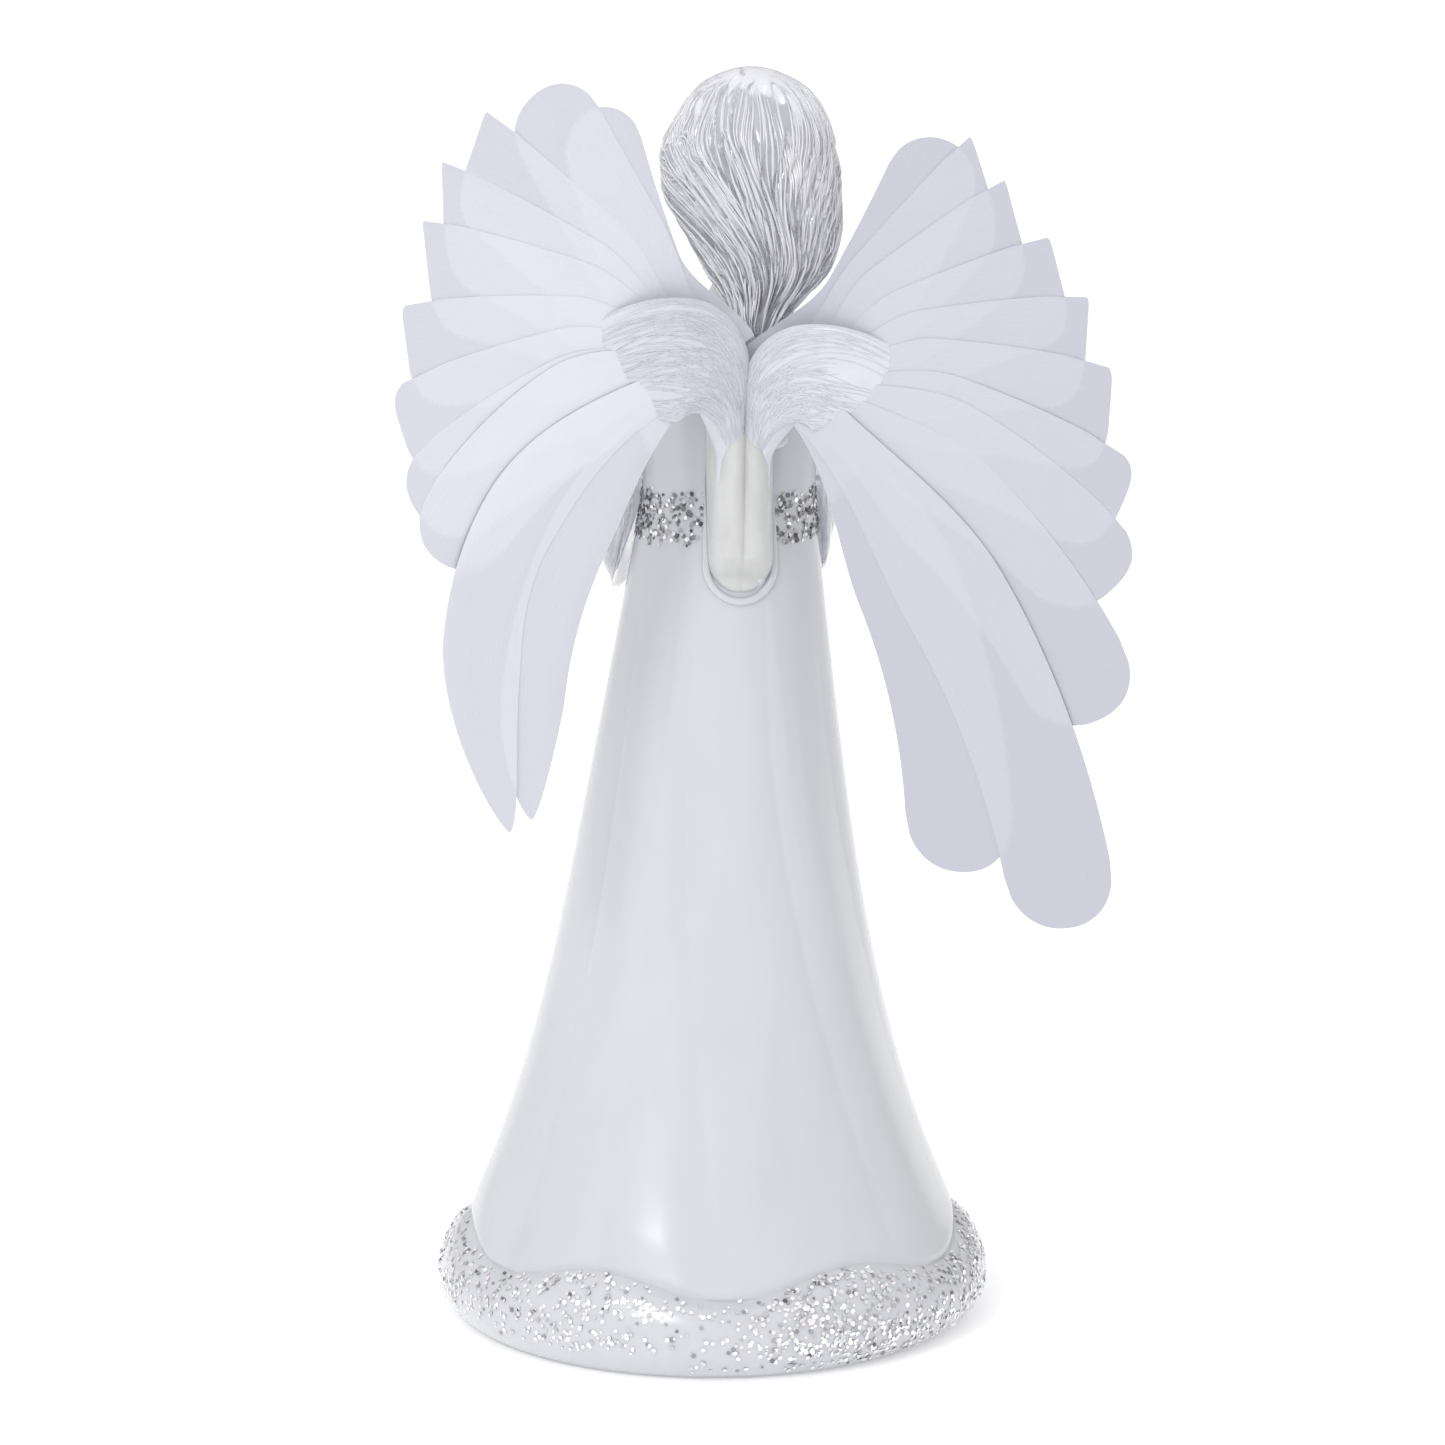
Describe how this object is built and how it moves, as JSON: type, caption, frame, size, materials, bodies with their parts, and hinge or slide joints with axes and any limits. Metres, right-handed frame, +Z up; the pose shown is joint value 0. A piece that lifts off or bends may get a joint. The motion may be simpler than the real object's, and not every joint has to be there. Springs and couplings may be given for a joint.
{
  "type": "angel figurine",
  "caption": "Standing angel figurine with a moulded gown, clear head and praying arms, layered fibre-lit feather wings, and a lamp and battery unit in its base.",
  "frame": {"origin": "centre of the footprint, on the plane that the figurine stands on", "axes": "+Z up, the figure faces -Y, its left wing is on the +X side"},
  "size_m": [0.1378, 0.1135, 0.2511],
  "materials": {
    "gown": "clear gloss over a white inner coat",
    "clear": "clear moulded, high gloss",
    "glitter": "silver hexagonal flakes in clear lacquer",
    "feather": "sheer white fabric backed with fine fibre",
    "fibre": "bundled light fibres, satin",
    "glue": "clear set adhesive",
    "base": "fine moulded texture",
    "switch": "moulded",
    "steel": "plated",
    "cell": "printed sleeve, plain",
    "board": "solder mask",
    "lamp": "clear lens",
    "holder": "moulded",
    "lead": "insulation"
  },
  "bodies": {
    "root": {"base_plate": "base", "base_screws": "steel", "battery_1": "cell", "battery_2": "cell", "battery_3": "cell", "battery_box": "base", "battery_contacts": "steel", "circuit_board": "board", "fibre_ferrule": "holder", "gown_back": "gown", "gown_front": "gown", "head_back": "clear", "head_front": "clear", "hem_glitter_band": "glitter", "lamp_holder": "holder", "led_lamp": "lamp", "left_feather_01": "feather", "left_feather_02": "feather", "left_feather_03": "feather", "left_feather_04": "feather", "left_feather_05": "feather", "left_feather_06": "feather", "left_feather_07": "feather", "left_feather_08": "feather", "left_feather_09": "feather", "left_feather_10": "feather", "left_feather_11": "feather", "left_fibre_bundle": "fibre", "left_sleeve": "clear", "left_wing_root": "fibre", "praying_hands": "clear", "right_feather_01": "feather", "right_feather_02": "feather", "right_feather_03": "feather", "right_feather_04": "feather", "right_feather_05": "feather", "right_feather_06": "feather", "right_feather_07": "feather", "right_feather_08": "feather", "right_feather_09": "feather", "right_feather_10": "feather", "right_feather_11": "feather", "right_fibre_bundle": "fibre", "right_sleeve": "clear", "right_wing_root": "fibre", "root_glue": "glue", "switch_body": "switch", "switch_leads": "lead", "waist_glitter_band": "glitter"},
    "battery_door": {"battery_door": "base"},
    "switch_knob": {"switch_knob": "switch"}
  },
  "joints": [
    {"name": "door_hinge", "type": "hinge", "parent": "root", "child": "battery_door", "pos_m": [0, -0.00295, 0.001], "axis": [1, 0, 0], "range_deg": [0, 100]},
    {"name": "switch_slide", "type": "slide", "parent": "root", "child": "switch_knob", "axis": [1, 0, 0], "range_m": [0, 0.004]}
  ]
}
